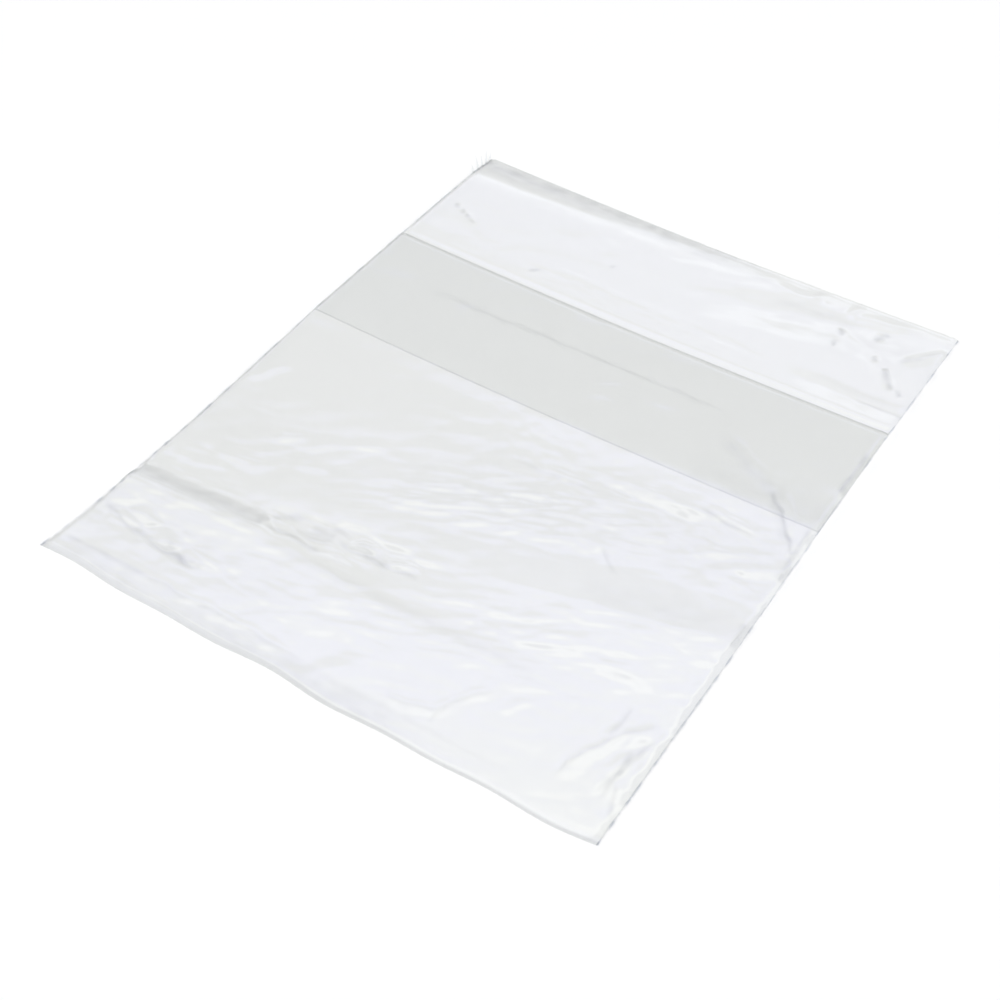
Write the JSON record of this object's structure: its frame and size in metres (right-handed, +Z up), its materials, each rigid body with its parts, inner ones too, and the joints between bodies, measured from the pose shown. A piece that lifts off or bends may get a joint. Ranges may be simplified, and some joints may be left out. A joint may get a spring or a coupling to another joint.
{
  "type": "sandwich bag",
  "caption": "Flat clear film sandwich bag with a flip-top flap, folded at the bottom and top and welded along both sides, lying empty on its back.",
  "frame": {"origin": "centre of the bag's outline on the surface it lies on", "axes": "+X across the bag from the left weld to the right weld, +Y from the bottom fold to the top fold, +Z up out of the front panel"},
  "size_m": [0.17, 0.211, 0.0047],
  "materials": {
    "film": "thin clear polyethylene film, glossy, lightly crinkled"
  },
  "bodies": {
    "root": {"bag_film": "film"}
  },
  "joints": []
}
